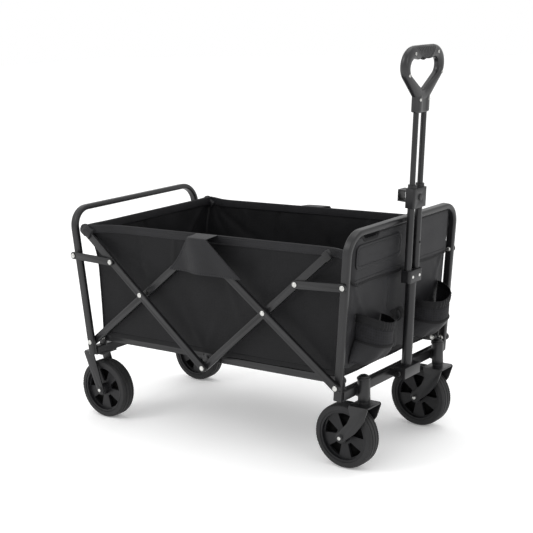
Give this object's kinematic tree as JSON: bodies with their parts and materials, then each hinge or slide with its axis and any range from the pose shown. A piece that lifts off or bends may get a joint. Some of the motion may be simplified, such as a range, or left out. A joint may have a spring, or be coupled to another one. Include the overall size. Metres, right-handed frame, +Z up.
{
  "type": "folding beach cart",
  "caption": "Folding beach cart with scissor-linkage steel frames, fabric tub, swivelling front casters, fixed rear wheels and a telescoping pull handle.",
  "frame": {"origin": "middle of the overall box, at the surface that the wheels stand on", "axes": "+X towards the pull handle, +Y to the cart's left when looking forwards, +Z up"},
  "size_m": [1.0862, 0.5996, 1.0926],
  "materials": {
    "black_steel": "satin powder coat",
    "bright_zinc": "bright zinc plate",
    "moulded_plastic": "matte",
    "grip_plastic": "satin",
    "wheel_plastic": "matte",
    "tyre_foam": "matte",
    "tub_fabric": "coated woven polyester"
  },
  "bodies": {
    "front_frame": {"front_frame_tube": "black_steel", "front_crossbar": "black_steel", "caster_sleeves": "black_steel", "sleeve_caps": "moulded_plastic", "handle_pivot_bolt": "bright_zinc", "front_frame_rivets": "bright_zinc", "tub_front_wall": "tub_fabric", "cup_pockets": "tub_fabric"},
    "caster_right": {"front_fork_right": "black_steel", "caster_stem_right": "bright_zinc", "front_axle_right": "bright_zinc"},
    "caster_left": {"front_fork_left": "black_steel", "caster_stem_left": "bright_zinc", "front_axle_left": "bright_zinc"},
    "wheel_front_right": {"rim_front_right": "wheel_plastic", "tyre_front_right": "tyre_foam"},
    "wheel_front_left": {"rim_front_left": "wheel_plastic", "tyre_front_left": "tyre_foam"},
    "wheel_rear_right": {"rim_rear_right": "wheel_plastic", "tyre_rear_right": "tyre_foam"},
    "wheel_rear_left": {"rim_rear_left": "wheel_plastic", "tyre_rear_left": "tyre_foam"},
    "rear_frame": {"rear_frame_tube": "black_steel", "rear_crossbar": "black_steel", "rear_forks": "black_steel", "rear_axles": "bright_zinc", "rear_frame_rivets": "bright_zinc"},
    "front_outer_linkage": {"front_outer_bars": "black_steel", "front_cross_rivets": "bright_zinc"},
    "front_inner_linkage": {"front_inner_bars": "black_steel", "front_bar_caps": "moulded_plastic", "bottom_hinge_rivets": "bright_zinc"},
    "rear_outer_linkage": {"rear_outer_bars": "black_steel", "rear_bar_caps": "moulded_plastic", "rear_cross_rivets": "bright_zinc"},
    "rear_inner_linkage": {"rear_inner_bars": "black_steel"},
    "front_straps": {"front_links": "black_steel", "front_link_rivets": "bright_zinc"},
    "rear_straps": {"rear_links": "black_steel", "rear_link_rivets": "bright_zinc"},
    "front_bottom_rails": {"front_rails": "black_steel"},
    "centre_plates": {"rail_hinge_plates": "black_steel"},
    "rear_bottom_rails": {"rear_rails": "black_steel"},
    "handle": {"handle_yoke": "black_steel", "handle_lower_tube": "black_steel", "collar_clamp": "moulded_plastic", "collar_rivets": "bright_zinc", "handle_outer_tubes": "black_steel", "latch_block": "moulded_plastic", "latch_spring": "bright_zinc"},
    "button": {"latch_button": "moulded_plastic"},
    "telescope": {"handle_inner_tubes": "black_steel", "grip_front_shell": "grip_plastic", "grip_rear_shell": "grip_plastic", "grip_screws": "bright_zinc"},
    "tub": {"tub_floor": "tub_fabric", "tub_side_walls": "tub_fabric", "tub_rear_wall": "tub_fabric", "hinge_flaps": "tub_fabric"}
  },
  "joints": [
    {"name": "fold", "type": "hinge", "parent": "front_frame", "child": "front_outer_linkage", "pos_m": [0.4244, 0, 0.246], "axis": [0, 1, 0], "range_deg": [0, 48.3], "deforming": ["tub_floor", "tub_side_walls", "tub_rear_wall", "hinge_flaps"]},
    {"name": "front_crossing", "type": "hinge", "parent": "front_outer_linkage", "child": "front_inner_linkage", "pos_m": [0.2019, 0, 0.4167], "axis": [0, 1, 0], "range_deg": [-82.82, 0]},
    {"name": "bottom_hinge", "type": "hinge", "parent": "front_inner_linkage", "child": "rear_outer_linkage", "pos_m": [-0.0151, 0, 0.234], "axis": [0, 1, 0], "range_deg": [0, 80.58]},
    {"name": "rear_crossing", "type": "hinge", "parent": "rear_outer_linkage", "child": "rear_inner_linkage", "pos_m": [-0.2321, 0, 0.4167], "axis": [0, 1, 0], "range_deg": [-82.82, 0]},
    {"name": "rear_post_pivot", "type": "hinge", "parent": "rear_inner_linkage", "child": "rear_frame", "pos_m": [-0.4546, 0, 0.246], "axis": [0, 1, 0], "range_deg": [0, 48.35]},
    {"name": "front_strap_pivot", "type": "hinge", "parent": "front_frame", "child": "front_straps", "pos_m": [0.45117, 0, 0.50954], "axis": [0, 1, 0], "range_deg": [0, 87.95]},
    {"name": "rear_strap_pivot", "type": "hinge", "parent": "rear_frame", "child": "rear_straps", "pos_m": [-0.48137, 0, 0.50954], "axis": [0, 1, 0], "range_deg": [-87.95, 0]},
    {"name": "front_rail_pivot", "type": "hinge", "parent": "front_frame", "child": "front_bottom_rails", "pos_m": [0.4129, 0, 0.252], "axis": [0, 1, 0], "range_deg": [0, 86.1]},
    {"name": "plate_pivot", "type": "hinge", "parent": "front_bottom_rails", "child": "centre_plates", "pos_m": [-0.0011, 0, 0.252], "axis": [0, 1, 0], "range_deg": [-80.3, 0]},
    {"name": "rear_rail_pivot", "type": "hinge", "parent": "rear_frame", "child": "rear_bottom_rails", "pos_m": [-0.4431, 0, 0.252], "axis": [0, 1, 0], "range_deg": [-86.1, 0]},
    {"name": "tub_lift", "type": "slide", "parent": "front_frame", "child": "tub", "axis": [0, 0, 1], "range_m": [0, 0.1905]},
    {"name": "handle_tilt", "type": "hinge", "parent": "front_frame", "child": "handle", "pos_m": [0.4629, 0, 0.224], "axis": [0, 1, 0], "range_deg": [0, 95]},
    {"name": "handle_slide", "type": "slide", "parent": "handle", "child": "telescope", "axis": [0.075, 0, 0.9972], "range_m": [-0.16, 0]},
    {"name": "latch_press", "type": "slide", "parent": "handle", "child": "button", "axis": [0.9972, 0, -0.075], "range_m": [-0.003, 0], "stiffness_N_per_m": 600, "springref_m": 0.002, "deforming": ["latch_spring"]},
    {"name": "swivel_right", "type": "hinge", "parent": "front_frame", "child": "caster_right", "pos_m": [0.4509, -0.195, 0.2], "axis": [0, 0, 1], "continuous": true},
    {"name": "spin_front_right", "type": "hinge", "parent": "caster_right", "child": "wheel_front_right", "pos_m": [0.3949, -0.195, 0.089], "axis": [0, 1, 0], "continuous": true},
    {"name": "spin_rear_right", "type": "hinge", "parent": "rear_frame", "child": "wheel_rear_right", "pos_m": [-0.4551, -0.215, 0.089], "axis": [0, 1, 0], "continuous": true},
    {"name": "swivel_left", "type": "hinge", "parent": "front_frame", "child": "caster_left", "pos_m": [0.4509, 0.195, 0.2], "axis": [0, 0, 1], "continuous": true},
    {"name": "spin_front_left", "type": "hinge", "parent": "caster_left", "child": "wheel_front_left", "pos_m": [0.3949, 0.195, 0.089], "axis": [0, 1, 0], "continuous": true},
    {"name": "spin_rear_left", "type": "hinge", "parent": "rear_frame", "child": "wheel_rear_left", "pos_m": [-0.4551, 0.215, 0.089], "axis": [0, 1, 0], "continuous": true}
  ],
  "couplings": [
    {"joint": "front_crossing", "follows": "fold", "ratio": -1.7135},
    {"joint": "bottom_hinge", "follows": "fold", "ratio": 1.6672},
    {"joint": "rear_crossing", "follows": "fold", "ratio": -1.7135},
    {"joint": "rear_post_pivot", "follows": "fold", "ratio": 1},
    {"joint": "front_strap_pivot", "follows": "fold", "ratio": 1.8198},
    {"joint": "rear_strap_pivot", "follows": "fold", "ratio": -1.8198},
    {"joint": "front_rail_pivot", "follows": "fold", "ratio": 1.7813},
    {"joint": "plate_pivot", "follows": "fold", "ratio": -1.6612},
    {"joint": "rear_rail_pivot", "follows": "fold", "ratio": -1.7813},
    {"joint": "tub_lift", "follows": "fold", "m_per_rad": 0.22536}
  ]
}
